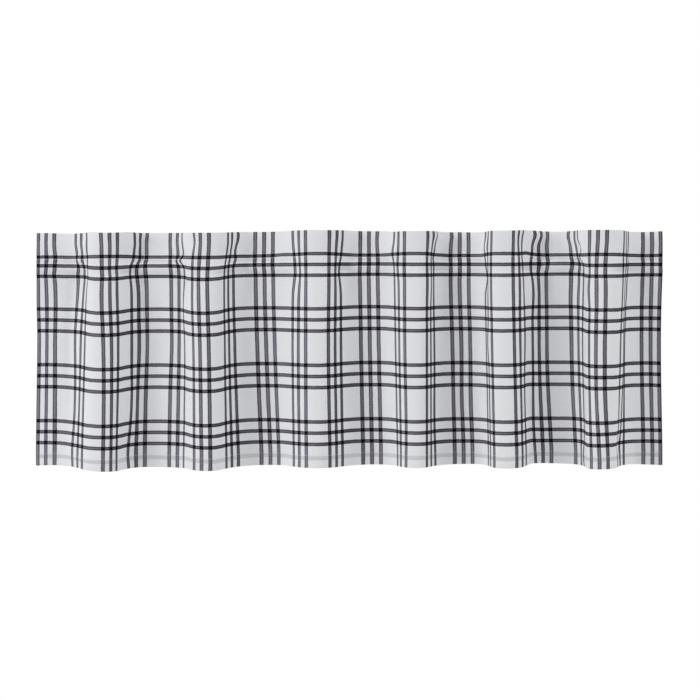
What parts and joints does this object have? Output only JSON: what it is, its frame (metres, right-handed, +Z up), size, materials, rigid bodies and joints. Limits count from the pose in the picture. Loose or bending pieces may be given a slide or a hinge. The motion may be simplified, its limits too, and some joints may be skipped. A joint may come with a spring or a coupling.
{
  "type": "window valance",
  "caption": "Gathered rod-pocket window valance of checked cotton, with a header ruffle above the rod sleeve, soft hanging folds and a stitched bottom hem.",
  "frame": {"origin": "middle of the top edge of the hung cloth, straight above the axis of the rod sleeve", "axes": "+X along the top edge to the right as seen from the room, +Y away from the room towards the window, +Z up"},
  "size_m": [1.0829, 0.0702, 0.414],
  "materials": {
    "checked_cotton": "matt plain weave, off-white with charcoal stripes both ways"
  },
  "bodies": {
    "root": {"valance": "checked_cotton"}
  },
  "joints": []
}
